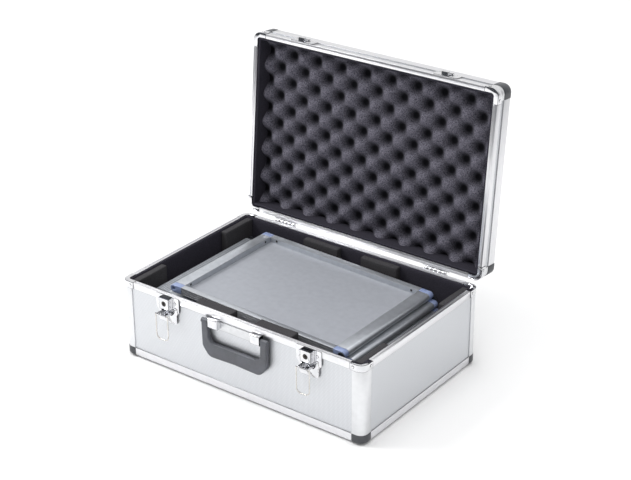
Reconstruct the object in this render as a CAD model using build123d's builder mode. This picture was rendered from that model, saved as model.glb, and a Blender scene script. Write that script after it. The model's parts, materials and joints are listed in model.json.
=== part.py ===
from build123d import *
import math
import os

os.makedirs("parts", exist_ok=True)

# ---- driving dimensions, millimetres -------------------------------------------------
# X runs along the front, Y from front to back, Z up; the origin is on the floor under the middle
case_length = 460
case_depth = 307
base_height = 130.4
lid_height = 39.6
foot_height = 3
corner_radius = 12.5
hinge_behind_back = 4.2
lid_open_angle = 95.2
rim_gap = 0.3

# aluminium profiles, measured inwards from the outside of the case
profile_wall = 1.2
rim_width = 7.7
rim_leg = 10.8
rim_web = 1.8
rim_inner_leg = 5
groove_centre = 3.9
edge_web = 11
edge_bend = 2.4
base_edge_leg = 13.9
lid_edge_leg = 20.4
post_reach = 20.1
rim_corner_reach = 24
panel_outside = 1.3
panel_inside = 6.4
clearance = 0.1

# foam
liner_outside = 7.9
liner_thickness = 2.6
liner_inside = liner_outside + liner_thickness
floor_foam_top = 47
foam_block_top = 130.4
block_length = 70
side_block_thickness = 12
back_block_thickness = 12
front_block_thickness = 21.5
row_block_middle = 57.5
egg_crate_low = 13
lid_foam_back = 33

# latches
latch_middle = 135
latch_plate_width = 46
latch_plate_low = 88
lever_pivot_y = -157.5
lever_pivot_z = 106
lever_width = 18.4
bail_arm = 11.6
bail_half_width = 11.8
bail_drop = 42.4
wire_radius = 1
lock_size = 20
lock_depth = 8.5
lock_middle_z = 122.7
cylinder_radius = 4

# carrying handle
handle_pivot_y = -158.2
handle_pivot_z = 117.6
handle_half_width = 62.5
handle_opening = 50.6
handle_bottom = 59
handle_opening_bottom = 83.5
handle_thickness = 7.8

# folded stack of trays
tray_nose = 6.2
rail_flat = 15.5
side_rail_width = 10.5
tray_front = -115
tray_back = 118.7
cap_length = 10.4
tray_floor_depth = 8.7
sheet_thickness = 1.5
pivot_bore = 3
pivot_pin = 2.95

# ---- derived ---------------------------------------------------------------------------
half_length = case_length / 2
half_depth = case_depth / 2
base_rim_z = foot_height + base_height
hinge_y = half_depth + hinge_behind_back
tilt = math.radians(lid_open_angle)
lid_frame = Plane(
    origin=(0, hinge_y, base_rim_z),
    x_dir=(1, 0, 0),
    z_dir=(0, math.sin(tilt), math.cos(tilt)),
)


def at(frame, x=0, y=0, z=0, facing=(0, 0, 1), right=(1, 0, 0)):
    # a plane at a point of a frame, with its normal and X direction given in that frame
    return Plane(
        origin=frame.from_local_coords(Vector(x, y, z)),
        x_dir=frame.from_local_coords(Vector(*right)) - frame.origin,
        z_dir=frame.from_local_coords(Vector(*facing)) - frame.origin,
    )


def slab(x_low, x_high, y_low, y_high, mode=Mode.ADD):
    with Locations(((x_low + x_high) / 2, (y_low + y_high) / 2)):
        Rectangle(x_high - x_low, y_high - y_low, mode=mode)


def block(frame, x, y, z, mode=Mode.ADD):
    # a box between two limits in each direction of a frame
    with BuildSketch(at(frame, z=z[0])) as base:
        slab(*x, *y)
    extrude(base.sketch, amount=z[1] - z[0], mode=mode)


def rod(frame, x, y, z, radius, mode=Mode.ADD):
    # a round bar along the X direction of a frame, between two limits of x
    with BuildSketch(at(frame, x[0], y, z, facing=(1, 0, 0), right=(0, 1, 0))) as end:
        Circle(radius)
    extrude(end.sketch, amount=x[1] - x[0], mode=mode)


def stub(frame, x, y, z, radius, mode=Mode.ADD):
    # a round bar along the Y direction of a frame, between two limits of y
    with BuildSketch(at(frame, x, y[0], z, facing=(0, 1, 0))) as end:
        Circle(radius)
    extrude(end.sketch, amount=y[1] - y[0], mode=mode)


# ---- shells: each is drawn from its rim plane inwards, w being the distance from the rim -----
outward = [(0, -1), (-1, 0), (0, 1), (1, 0)]
base_shell = Plane(origin=(0, 0, base_rim_z), x_dir=(1, 0, 0), z_dir=(0, 0, -1))
lid_shell = at(lid_frame, y=-hinge_y, z=rim_gap)


def side_length(normal):
    return case_length * abs(normal[1]) + case_depth * abs(normal[0])


def side_plane(frame, normal, along=0):
    # section plane of one side: X outwards, Y away from the rim, Z along the side
    normal_x, normal_y = normal
    along_x, along_y = normal_y, -normal_x
    return at(
        frame,
        normal_x * half_length + along_x * along,
        normal_y * half_depth + along_y * along,
        facing=(along_x, along_y, 0),
        right=(normal_x, normal_y, 0),
    )


def straight_lengths(frame, section, reach):
    for normal in outward:
        with BuildSketch(side_plane(frame, normal)) as profile:
            section()
        extrude(profile.sketch, amount=side_length(normal) / 2 - reach, both=True)


def bent_corners(frame, section, reach):
    for normal, following in zip(outward, outward[1:] + outward[:1]):
        corner_x = (normal[0] + following[0]) * half_length
        corner_y = (normal[1] + following[1]) * half_depth
        start = (corner_x - normal[1] * reach, corner_y + normal[0] * reach)
        end = (corner_x + following[1] * reach, corner_y - following[0] * reach)
        with BuildLine(frame) as bend:
            FilletPolyline(start, (corner_x, corner_y), end, radius=corner_radius)
        with BuildSketch(side_plane(frame, normal, side_length(normal) / 2 - reach)) as profile:
            section()
        sweep(profile.sketch, path=bend.wire())


def keep_corners(reach):
    slab(reach - half_length, half_length - reach, -case_depth, case_depth, mode=Mode.SUBTRACT)
    slab(-case_length, case_length, reach - half_depth, half_depth - reach, mode=Mode.SUBTRACT)


def rounded_band(outside, inside):
    # the band between two insets of the case's rounded outline
    RectangleRounded(case_length - 2 * outside, case_depth - 2 * outside, corner_radius - outside)
    RectangleRounded(
        case_length - 2 * inside, case_depth - 2 * inside, corner_radius - inside, mode=Mode.SUBTRACT
    )


def rim_channel(proud=0.0, leg=rim_leg):
    # a U over the panel's edge
    slab(-profile_wall, proud, 0, leg)
    slab(-rim_width, 0, 0, rim_web)
    slab(-rim_width, 1 - rim_width, 0, rim_inner_leg)


def base_rim_section():
    rim_channel()
    slab(-groove_centre - 0.8, 0.8 - groove_centre, 0, 0.9, mode=Mode.SUBTRACT)


def lid_rim_section():
    rim_channel()
    slab(-groove_centre - 0.5, 0.5 - groove_centre, -0.6, 0)


def rim_corner_section():
    rim_channel(proud=0.5, leg=rim_leg + 0.5)


def edge_section(height, leg, wall=profile_wall, proud=0.0):
    # a rounded angle along the edge where the side meets the bottom or the top
    middle = proud - wall / 2
    with BuildLine() as bend:
        FilletPolyline(
            (middle, height - leg),
            (middle, height + middle),
            (-edge_web, height + middle),
            radius=edge_bend,
        )
    trace(bend.line, line_width=wall)


def side_panels(height):
    # spans of the four side panels of a shell; the base shell is drawn upside down
    end_x = half_length - corner_radius - clearance
    end_y = half_depth - corner_radius - clearance
    depth = (rim_web + clearance, height - panel_inside)
    long_y = (half_depth - panel_inside, half_depth - panel_outside)
    short_x = (half_length - panel_inside, half_length - panel_outside)
    return {
        "back": ((-end_x, end_x), (-long_y[1], -long_y[0]), depth),
        "front": ((-end_x, end_x), long_y, depth),
        "left": ((-short_x[1], -short_x[0]), (-end_y, end_y), depth),
        "right": (short_x, (-end_y, end_y), depth),
    }


shells = {
    "base": (base_shell, base_height, base_edge_leg, base_rim_section),
    "lid": (lid_shell, lid_height, lid_edge_leg, lid_rim_section),
}
rivet_radius = 2.4
rivet_head = 0.8
rivet_from_corner = 18
cap_wall = 1.6
cap_proud = 0.4
closing_inset = panel_outside + 0.1
closing_bend = 2.2

for shell, (frame, height, edge_leg, rim_section) in shells.items():
    with BuildPart() as rim_profiles:
        straight_lengths(frame, rim_section, rim_corner_reach)
    rim_profiles.part.label = f"{shell}_rim_profiles"
    export_step(rim_profiles.part, f"parts/{shell}_rim_profiles.step")

    with BuildPart() as rim_corners:
        bent_corners(frame, rim_corner_section, rim_corner_reach - clearance)
    rim_corners.part.label = f"{shell}_rim_corners"
    export_step(rim_corners.part, f"parts/{shell}_rim_corners.step")

    with BuildPart() as rim_rivets:
        for normal in outward:
            for end in (-1, 1):
                along = end * (side_length(normal) / 2 - rivet_from_corner)
                point = side_plane(frame, normal, along).from_local_coords(
                    Vector(0.5, rim_leg / 2, 0)
                )
                facing = frame.from_local_coords(Vector(*normal, 0)) - frame.origin
                with BuildSketch(Plane(origin=point, z_dir=facing)):
                    Circle(rivet_radius)
                extrude(amount=rivet_head, taper=25)
    rim_rivets.part.label = f"{shell}_rim_rivets"
    export_step(rim_rivets.part, f"parts/{shell}_rim_rivets.step")

    post_low = rim_leg + 0.7
    post_high = height - edge_leg - clearance
    with BuildPart() as corner_posts:
        for inside, reach in ((profile_wall, post_reach), (panel_inside, corner_radius - clearance)):
            with BuildSketch(at(frame, z=post_low)):
                rounded_band(0, inside)
                keep_corners(reach)
            extrude(amount=post_high - post_low)
    corner_posts.part.label = f"{shell}_corner_posts"
    export_step(corner_posts.part, f"parts/{shell}_corner_posts.step")

    with BuildPart() as edge_profiles:
        straight_lengths(frame, lambda: edge_section(height, edge_leg), post_reach + clearance)
    edge_profiles.part.label = f"{shell}_edge_profiles"
    export_step(edge_profiles.part, f"parts/{shell}_edge_profiles.step")

    with BuildPart() as corner_caps:
        bent_corners(
            frame,
            lambda: edge_section(height, edge_leg, wall=cap_wall, proud=cap_proud),
            post_reach,
        )
    corner_caps.part.label = f"{shell}_corner_caps"
    export_step(corner_caps.part, f"parts/{shell}_corner_caps.step")

    with BuildPart() as closing_panel:
        with BuildSketch(at(frame, z=height - panel_inside + clearance)):
            RectangleRounded(
                case_length - 2 * closing_inset,
                case_depth - 2 * closing_inset,
                corner_radius - closing_inset,
            )
        extrude(amount=panel_inside - profile_wall - 2 * clearance)
        outer_face = closing_panel.faces().sort_by(Axis(frame.origin, frame.z_dir))[-1]
        fillet(outer_face.edges(), radius=closing_bend)
    closing_name = {"base": "base_bottom_panel", "lid": "lid_top_panel"}[shell]
    closing_panel.part.label = closing_name
    export_step(closing_panel.part, f"parts/{closing_name}.step")

for side, spans in side_panels(base_height).items():
    with BuildPart() as side_panel:
        block(base_shell, *spans)
    side_panel.part.label = f"base_{side}_panel"
    export_step(side_panel.part, f"parts/base_{side}_panel.step")

with BuildPart() as lid_side_panels:
    for spans in side_panels(lid_height).values():
        block(lid_shell, *spans)
lid_side_panels.part.label = "lid_side_panels"
export_step(lid_side_panels.part, "parts/lid_side_panels.step")

# rubber feet under the base
foot_radius = 8
foot_inset = 34
with BuildPart() as feet:
    with BuildSketch():
        with GridLocations(case_length - 2 * foot_inset, case_depth - 2 * foot_inset, 2, 2):
            Circle(foot_radius)
    extrude(amount=foot_height)
feet.part.label = "feet"
export_step(feet.part, "parts/feet.step")

# ---- foam lining and foam blocks of the base -------------------------------------------------
floor_level = foot_height + panel_inside + clearance
liner_top = base_rim_z - 1.5
inner_x = half_length - liner_inside
inner_y = half_depth - liner_inside

with BuildPart() as floor_foam:
    with BuildSketch(Plane.XY.offset(floor_level)):
        RectangleRounded(2 * inner_x - 1, 2 * inner_y - 1, 2)
    extrude(amount=floor_foam_top - floor_level)
floor_foam.part.label = "floor_foam"
export_step(floor_foam.part, "parts/floor_foam.step")

with BuildPart() as wall_foam:
    with BuildSketch(Plane.XY.offset(floor_level)):
        rounded_band(liner_outside, liner_inside)
    extrude(amount=liner_top - floor_level)
wall_foam.part.label = "wall_foam"
export_step(wall_foam.part, "parts/wall_foam.step")

block_low = floor_foam_top + 0.2
block_heights = (block_low, foam_block_top)
corner_y_near = 73
with BuildPart() as corner_foam_blocks:
    for side_x in (-1, 1):
        for side_y in (-1, 1):
            span_x = sorted((side_x * (inner_x - 0.2), side_x * (inner_x - side_block_thickness)))
            span_y = sorted((side_y * corner_y_near, side_y * (inner_y - 0.4)))
            block(Plane.XY, span_x, span_y, block_heights)
    fillet(corner_foam_blocks.edges().filter_by(Axis.Z), radius=2.2)
corner_foam_blocks.part.label = "corner_foam_blocks"
export_step(corner_foam_blocks.part, "parts/corner_foam_blocks.step")

rows = {
    "front_foam_blocks": (-inner_y + 0.2, -inner_y + front_block_thickness),
    "back_foam_blocks": (inner_y - back_block_thickness, inner_y - 0.2),
}
for name, span_y in rows.items():
    with BuildPart() as row_blocks:
        for side_x in (-1, 1):
            middle = side_x * row_block_middle
            span_x = (middle - block_length / 2, middle + block_length / 2)
            block(Plane.XY, span_x, span_y, block_heights)
    row_blocks.part.label = name
    export_step(row_blocks.part, f"parts/{name}.step")

# ---- foam in the lid ---------------------------------------------------------------------------
strip_thickness = 4
lid_rim_clear = 1.6
with BuildPart() as lid_side_foam:
    with BuildSketch(at(lid_shell, z=lid_rim_clear)):
        rounded_band(liner_outside, liner_outside + strip_thickness)
    extrude(amount=lid_foam_back - lid_rim_clear)
lid_side_foam.part.label = "lid_side_foam"
export_step(lid_side_foam.part, "parts/lid_side_foam.step")

egg_gap = 0.3
with BuildPart() as egg_crate_foam:
    with BuildSketch(at(lid_shell, z=egg_crate_low)):
        egg_inset = liner_outside + strip_thickness + egg_gap
        Rectangle(case_length - 2 * egg_inset, case_depth - 2 * egg_inset)
    extrude(amount=lid_foam_back - egg_crate_low)
egg_crate_foam.part.label = "egg_crate_foam"
export_step(egg_crate_foam.part, "parts/egg_crate_foam.step")

# ---- hinges --------------------------------------------------------------------------------------
hinge_middle = 148.5
hinge_half = 20
knuckle_radius = 2.7
hinge_pin = 1.4
hinge_bore = 1.45
leaf_wall = 1.2
leaf_near = hinge_behind_back - 0.1
leaf_far = leaf_near - leaf_wall
leaf_wing = 24
base_leaf_drop = 27
lid_leaf_rise = 26
knuckles = 5
knuckle_pitch = 2 * hinge_half / knuckles
knuckle_gap = 0.2


def knuckle_spans(middle, first):
    for number in range(first, knuckles, 2):
        low = middle - hinge_half + number * knuckle_pitch + knuckle_gap
        yield low, low + knuckle_pitch - 2 * knuckle_gap


hinge_axis_frame = Plane(origin=(0, hinge_y, base_rim_z), x_dir=(1, 0, 0), z_dir=(0, 0, 1))
with BuildPart() as hinge_base_leaves:
    for middle in (-hinge_middle, hinge_middle):
        wings = (middle - leaf_wing, middle + leaf_wing)
        block(hinge_axis_frame, wings, (-leaf_near, -leaf_far), (-base_leaf_drop, -0.4))
        for span in knuckle_spans(middle, 0):
            rod(hinge_axis_frame, span, 0, 0, knuckle_radius)
            block(hinge_axis_frame, span, (-leaf_far - 0.1, 0), (-knuckle_radius, -0.4))
        rod(hinge_axis_frame, wings, 0, 0, hinge_bore, mode=Mode.SUBTRACT)
hinge_base_leaves.part.label = "hinge_base_leaves"
export_step(hinge_base_leaves.part, "parts/hinge_base_leaves.step")

with BuildPart() as hinge_lid_leaves:
    for middle in (-hinge_middle, hinge_middle):
        wings = (middle - leaf_wing, middle + leaf_wing)
        block(lid_frame, wings, (-leaf_near, -leaf_far), (0.6, lid_leaf_rise))
        for span in knuckle_spans(middle, 1):
            rod(lid_frame, span, 0, 0, knuckle_radius)
            block(lid_frame, span, (-leaf_far - 0.1, 0), (0.6, knuckle_radius))
        rod(lid_frame, wings, 0, 0, hinge_bore, mode=Mode.SUBTRACT)
hinge_lid_leaves.part.label = "hinge_lid_leaves"
export_step(hinge_lid_leaves.part, "parts/hinge_lid_leaves.step")

with BuildPart() as hinge_pins:
    for middle in (-hinge_middle, hinge_middle):
        rod(hinge_axis_frame, (middle - hinge_half, middle + hinge_half), 0, 0, hinge_pin)
hinge_pins.part.label = "hinge_pins"
export_step(hinge_pins.part, "parts/hinge_pins.step")

# ---- latches ---------------------------------------------------------------------------------------
front_face = -half_depth
skin_gap = 0.05
plate_wall = 1.2
plate_back = front_face - skin_gap
plate_front = plate_back - plate_wall
plate_top = base_rim_z - 0.1
shoulder_z = 110
foot_half = 18.5
ear_radius = 2.6
ear_inside = lever_width / 2 + 0.15
ear_outside = ear_inside + plate_wall


def front_plane(x=0, y=0, z=0):
    # a plane facing the front, X to the right and Y up
    return Plane(origin=(x, y, z), x_dir=(1, 0, 0), z_dir=(0, -1, 0))


with BuildPart() as latch_plates:
    for middle in (-latch_middle, latch_middle):
        with BuildSketch(front_plane(middle, plate_back)):
            with BuildLine():
                half = latch_plate_width / 2
                FilletPolyline(
                    (0, plate_top),
                    (half, plate_top),
                    (half, shoulder_z),
                    (foot_half, shoulder_z - 5),
                    (foot_half, latch_plate_low),
                    (0, latch_plate_low),
                    radius=(2, 5, 5, 5),
                )
                mirror(about=Plane.YZ)
            make_face()
        extrude(amount=plate_wall)
        ear_z = (lever_pivot_z - ear_radius, lever_pivot_z + ear_radius)
        for side in (-1, 1):
            ear = sorted((middle + side * ear_inside, middle + side * ear_outside))
            block(Plane.XY, ear, (lever_pivot_y, plate_back), ear_z)
            rod(Plane.XY, ear, lever_pivot_y, lever_pivot_z, ear_radius)
        bore = (middle - ear_outside, middle + ear_outside)
        rod(Plane.XY, bore, lever_pivot_y, lever_pivot_z, wire_radius, mode=Mode.SUBTRACT)
latch_plates.part.label = "latch_plates"
export_step(latch_plates.part, "parts/latch_plates.step")

with BuildPart() as latch_pins:
    for middle in (-latch_middle, latch_middle):
        span = (middle - ear_outside, middle + ear_outside)
        rod(Plane.XY, span, lever_pivot_y, lever_pivot_z, wire_radius)
latch_pins.part.label = "latch_pins"
export_step(latch_pins.part, "parts/latch_pins.step")

rivet_places = ((15.5, 124), (15.5, 114.5), (-15.5, 124), (-15.5, 114.5), (0, 91.6))
with BuildPart() as latch_rivets:
    for middle in (-latch_middle, latch_middle):
        for place_x, place_z in rivet_places:
            with BuildSketch(front_plane(middle + place_x, plate_front, place_z)):
                Circle(rivet_radius)
            extrude(amount=rivet_head, taper=25)
latch_rivets.part.label = "latch_rivets"
export_step(latch_rivets.part, "parts/latch_rivets.step")

lock_back = 1
keyhole_depth = 5
keyhole_radius = 1.5
keyhole_up = 0.9
slot_half = 0.6
slot_down = 3.1
with BuildPart() as lock_housings:
    for middle in (-latch_middle, latch_middle):
        with BuildSketch(front_plane(middle, plate_front, lock_middle_z)):
            RectangleRounded(lock_size, lock_size, 1.6)
        extrude(amount=lock_depth)
    chamfer(lock_housings.faces().sort_by(Axis.Y)[:2].edges(), length=0.8)
    for middle in (-latch_middle, latch_middle):
        with BuildSketch(front_plane(middle, plate_front - lock_back, lock_middle_z)):
            Circle(cylinder_radius + 0.05)
        extrude(amount=lock_depth, mode=Mode.SUBTRACT)
lock_housings.part.label = "lock_housings"
export_step(lock_housings.part, "parts/lock_housings.step")

lock_face = plate_front - lock_depth
lever_half = lever_width / 2
lever_crown = 1.4
tip_height = 3.6
web_low = -1.6
bail_pin_bend = 1.6
bail_foot_bend = 8
for side, middle in (("left", -latch_middle), ("right", latch_middle)):
    with BuildPart() as lock_cylinder:
        with BuildSketch(front_plane(middle, plate_front - lock_back - clearance, lock_middle_z)):
            Circle(cylinder_radius)
        extrude(amount=lock_depth - lock_back)
        with BuildSketch(front_plane(middle, lock_face - clearance, lock_middle_z)):
            with Locations((0, keyhole_up)):
                Circle(keyhole_radius)
            slab(-slot_half, slot_half, -slot_down, keyhole_up)
        extrude(amount=-keyhole_depth, mode=Mode.SUBTRACT)
    lock_cylinder.part.label = f"lock_cylinder_{side}"
    export_step(lock_cylinder.part, f"parts/lock_cylinder_{side}.step")

    pin_y = lever_pivot_y - bail_arm
    pivot_frame = Plane(origin=(middle, lever_pivot_y, lever_pivot_z))
    side_view = at(pivot_frame, -lever_half, facing=(1, 0, 0), right=(0, 1, 0))
    with BuildPart() as latch_lever:
        with BuildSketch(side_view):
            with BuildLine():
                FilletPolyline(
                    (0, lever_crown), (-bail_arm - 1.5, lever_crown), (-bail_arm - 4.6, tip_height), radius=3
                )
            trace(line_width=plate_wall)
            with Locations((0, 0), (-bail_arm, 0)):
                Circle(lever_crown + plate_wall / 2)
        extrude(amount=lever_width)
        for web in ((-lever_half, plate_wall - lever_half), (lever_half - plate_wall, lever_half)):
            block(pivot_frame, web, (-bail_arm, 0), (web_low, lever_crown))
        for bore_y in (0, -bail_arm):
            bore_radius = wire_radius + clearance / 2
            rod(pivot_frame, (-lever_half, lever_half), bore_y, 0, bore_radius, mode=Mode.SUBTRACT)
    latch_lever.part.label = f"latch_lever_{side}"
    export_step(latch_lever.part, f"parts/latch_lever_{side}.step")

    with BuildPart() as latch_bail:
        with BuildLine(front_plane(middle, pin_y, lever_pivot_z)) as wire_line:
            FilletPolyline(
                (0, 0),
                (bail_half_width, 0),
                (bail_half_width, -bail_drop),
                (0, -bail_drop),
                radius=(bail_pin_bend, bail_foot_bend),
            )
        with BuildSketch(Plane(origin=(middle, pin_y, lever_pivot_z), z_dir=(1, 0, 0))):
            Circle(wire_radius)
        sweep(path=wire_line.wire())
        mirror(about=Plane.YZ.offset(middle))
    latch_bail.part.label = f"latch_bail_{side}"
    export_step(latch_bail.part, f"parts/latch_bail_{side}.step")

# hooks on the lid that the wire bails go over: a plate, a shelf with a lip, and a rib above
strike_half = 22
strike_height = 18
strike_middle_w = 9.6
# the shelf and its lip fit between the rounded corners of the wire loop
hook_half = 5.5
rib_half = 9
hook_low_w = 0.6
hook_wall = 1.1
hook_reach = 7.6
lip_high_w = 6.4
rib_reach = 4.4
rib_w = (9.5, 14)
strike_back = -half_depth - skin_gap
strike_front = strike_back - plate_wall
with BuildPart() as lid_strikes:
    for middle in (-latch_middle, latch_middle):
        with BuildSketch(at(lid_shell, middle, strike_back, strike_middle_w, facing=(0, -1, 0))):
            RectangleRounded(2 * strike_half, strike_height, 4)
        extrude(amount=plate_wall)
        hook_x = (middle - hook_half, middle + hook_half)
        rib_x = (middle - rib_half, middle + rib_half)
        shelf_y = (strike_back - hook_reach, strike_front + clearance)
        lip_y = (strike_back - hook_reach, strike_back - hook_reach + hook_wall)
        rib_y = (strike_back - rib_reach, strike_front + clearance)
        block(lid_shell, hook_x, shelf_y, (hook_low_w, hook_low_w + hook_wall))
        block(lid_shell, hook_x, lip_y, (hook_low_w, lip_high_w))
        block(lid_shell, rib_x, rib_y, rib_w)
lid_strikes.part.label = "lid_strikes"
export_step(lid_strikes.part, "parts/lid_strikes.step")

# ---- handle ------------------------------------------------------------------------------------------
panel_face = panel_outside - half_depth
bracket_half = 47
bracket_z = (106.5, 121)
cap_near = 31.5
cap_far = handle_opening - 0.6
cap_depth = 8.9
cap_z = (109.5, 125.5)
pin_radius = 2
handle_bore = 2.05
pin_into_cap = 4
pin_into_grip = 8
bracket_corner = 1.5
cap_bend = 2.4
grip_bend = 2.2
# the grip's outline bows down a little in the middle and cuts its lower corners
grip_bow = 2
grip_cut = 14
grip_cut_height = 16
grip_taper = 1
opening_taper = 1.5
sharp_corner = 0.1
opening_corner = 12
with BuildPart() as handle_bracket:
    bracket_y = (panel_face - plate_wall, panel_face - skin_gap)
    block(Plane.XY, (-bracket_half, bracket_half), bracket_y, bracket_z)
    fillet(handle_bracket.edges().filter_by(Axis.Y), radius=bracket_corner)
handle_bracket.part.label = "handle_bracket"
export_step(handle_bracket.part, "parts/handle_bracket.step")

with BuildPart() as handle_end_caps:
    cap_y = (front_face - skin_gap - cap_depth, front_face - skin_gap)
    for side in (-1, 1):
        block(Plane.XY, sorted((side * cap_near, side * cap_far)), cap_y, cap_z)
    fillet(handle_end_caps.faces().sort_by(Axis.Y)[:2].edges(), radius=cap_bend)
    for side in (-1, 1):
        bore = sorted((side * (cap_near + pin_into_cap - 1), side * cap_far))
        rod(Plane.XY, bore, handle_pivot_y, handle_pivot_z, handle_bore, mode=Mode.SUBTRACT)
handle_end_caps.part.label = "handle_end_caps"
export_step(handle_end_caps.part, "parts/handle_end_caps.step")

with BuildPart() as handle_pins:
    for side in (-1, 1):
        span = sorted((side * (cap_near + pin_into_cap), side * (handle_opening + pin_into_grip)))
        rod(Plane.XY, span, handle_pivot_y, handle_pivot_z, pin_radius)
handle_pins.part.label = "handle_pins"
export_step(handle_pins.part, "parts/handle_pins.step")

grip_back = handle_pivot_y + handle_thickness / 2
with BuildPart() as handle_grip:
    with BuildSketch(front_plane(0, grip_back)):
        with BuildLine():
            FilletPolyline(
                (0, handle_bottom + grip_bow),
                (handle_half_width - grip_cut, handle_bottom),
                (handle_half_width - grip_taper, handle_bottom + grip_cut_height),
                (handle_half_width, handle_pivot_z),
                (handle_opening, handle_pivot_z),
                (handle_opening - opening_taper, handle_opening_bottom),
                (0, handle_opening_bottom),
                radius=(grip_cut, grip_cut, sharp_corner, sharp_corner, opening_corner),
            )
            mirror(about=Plane.YZ)
        make_face()
    extrude(amount=handle_thickness)
    soft_edges = handle_grip.edges().filter_by(
        lambda edge: edge.center().Z < handle_pivot_z - 2 and edge.geom_type != GeomType.LINE
        or edge.length > 30
    )
    fillet(soft_edges, radius=grip_bend)
    for side in (-1, 1):
        eye = sorted((side * handle_opening, side * handle_half_width))
        rod(Plane.XY, eye, handle_pivot_y, handle_pivot_z, handle_thickness / 2)
    for side in (-1, 1):
        hole = sorted((side * (handle_opening - 2), side * (handle_opening + pin_into_grip + 1)))
        rod(Plane.XY, hole, handle_pivot_y, handle_pivot_z, handle_bore, mode=Mode.SUBTRACT)
handle_grip.part.label = "handle_grip"
export_step(handle_grip.part, "parts/handle_grip.step")

# ---- folded stack of trays -----------------------------------------------------------------------------
# Each level is drawn from the middle of its right-hand nose: X runs along the level, Z out of its top.
# The upper levels lean a little, because the left-hand links are longer than the right-hand ones.
levels = {
    "top_tray": {"pivot": (164.3, 112.3), "span": 322.3, "lean": 1.78},
    "link_frame": {"pivot": (173.1, 99.4), "span": 366.0, "lean": 0.86},
    "lower_tray": {"pivot": (176.4, 86.3), "span": 356.0, "lean": 0.0},
    "base_frame": {"pivot": (176.0, 73.4), "span": 352.0, "lean": 0.0},
}
rail_wall = 1.5
ledge = 3
ledge_wall = 1.2
groove_depth = 1
groove_width = 1.4
groove_pitch = 3.4
rib_count = 6
rib_pitch = 4
ribbed_width = 26
stack_foot = 14


def level_frame(name):
    pivot_x, pivot_z = levels[name]["pivot"]
    lean = math.radians(levels[name]["lean"])
    return Plane(
        origin=(pivot_x, 0, pivot_z),
        x_dir=(math.cos(lean), 0, -math.sin(lean)),
        z_dir=(math.sin(lean), 0, math.cos(lean)),
    )


def nose_rail_section(inner_side):
    # a hollow rail with a half-round nose; inner_side is the direction towards the tray
    far = inner_side * rail_flat
    core = inner_side * (rail_flat - rail_wall)
    Circle(tray_nose)
    slab(*sorted((0, far)), -tray_nose, tray_nose)
    Circle(tray_nose - rail_wall, mode=Mode.SUBTRACT)
    slab(*sorted((0, core)), rail_wall - tray_nose, tray_nose - rail_wall, mode=Mode.SUBTRACT)
    slab(*sorted((far, far + inner_side * ledge)), -tray_nose, ledge_wall - tray_nose)


def nose_rail(frame, x, inner_side):
    # it stops just short of the side rails' inner faces
    low_y = tray_front + side_rail_width + clearance
    high_y = tray_back - side_rail_width - clearance
    with BuildSketch(at(frame, x, high_y, 0, facing=(0, -1, 0))) as profile:
        nose_rail_section(inner_side)
    extrude(profile.sketch, amount=high_y - low_y)


def side_rail(frame, x, outer_y, outward_y):
    # a hollow rail along the front or the back, with grooves along its outer face
    inner_y = outer_y - outward_y * side_rail_width
    low, high = sorted((inner_y, outer_y))
    block(frame, x, (low, high), (-tray_nose, tray_nose))
    hollow = (low + rail_wall + groove_depth, high - rail_wall - groove_depth)
    block(frame, x, hollow, (rail_wall - tray_nose, tray_nose - rail_wall), mode=Mode.SUBTRACT)
    shelf_x = (x[0] + ledge + clearance, x[1] - ledge - clearance)
    shelf_y = sorted((inner_y, inner_y - outward_y * ledge))
    block(frame, shelf_x, shelf_y, (-tray_nose, ledge_wall - tray_nose))
    groove = sorted((outer_y, outer_y - outward_y * groove_depth))
    for number in (-1, 0, 1):
        middle = number * groove_pitch
        height = (middle - groove_width / 2, middle + groove_width / 2)
        block(frame, x, groove, height, mode=Mode.SUBTRACT)


def corner_cap(frame, x, inner_side, y):
    far = x + inner_side * rail_flat
    with BuildSketch(at(frame, x, y[0], 0, facing=(0, 1, 0), right=(1, 0, 0))) as profile:
        Circle(tray_nose)
        slab(*sorted((0, far - x)), -tray_nose, tray_nose)
    extrude(profile.sketch, amount=y[1] - y[0])


def add_corner_caps(frame, ends):
    # four moulded caps, each with a blind pivot hole in its outer face
    depth = cap_length - 1
    for x, inner_side in ends:
        corner_cap(frame, x, inner_side, (tray_front, tray_front + cap_length))
        corner_cap(frame, x, inner_side, (tray_back - cap_length, tray_back))
        for hole in ((tray_front, tray_front + depth), (tray_back - depth, tray_back)):
            stub(frame, x, hole, 0, pivot_bore, mode=Mode.SUBTRACT)


for name in ("top_tray", "lower_tray"):
    frame = level_frame(name)
    left = -levels[name]["span"]
    side_span = (left + rail_flat, -rail_flat)
    with BuildPart() as tray_rails:
        nose_rail(frame, left, 1)
        nose_rail(frame, 0, -1)
        side_rail(frame, side_span, tray_front, -1)
        side_rail(frame, side_span, tray_back, 1)
    tray_rails.part.label = f"{name}_rails"
    export_step(tray_rails.part, f"parts/{name}_rails.step")

    with BuildPart() as tray_caps:
        add_corner_caps(frame, ((left, 1), (0, -1)))
    tray_caps.part.label = f"{name}_corner_caps"
    export_step(tray_caps.part, f"parts/{name}_corner_caps.step")

    sheet_top = tray_nose - tray_floor_depth
    with BuildPart() as tray_sheet:
        block(
            frame,
            (side_span[0] + clearance, side_span[1] - clearance),
            (tray_front + side_rail_width + clearance, tray_back - side_rail_width - clearance),
            (sheet_top - sheet_thickness, sheet_top),
        )
    tray_sheet.part.label = f"{name}_sheet"
    export_step(tray_sheet.part, f"parts/{name}_sheet.step")

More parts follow.
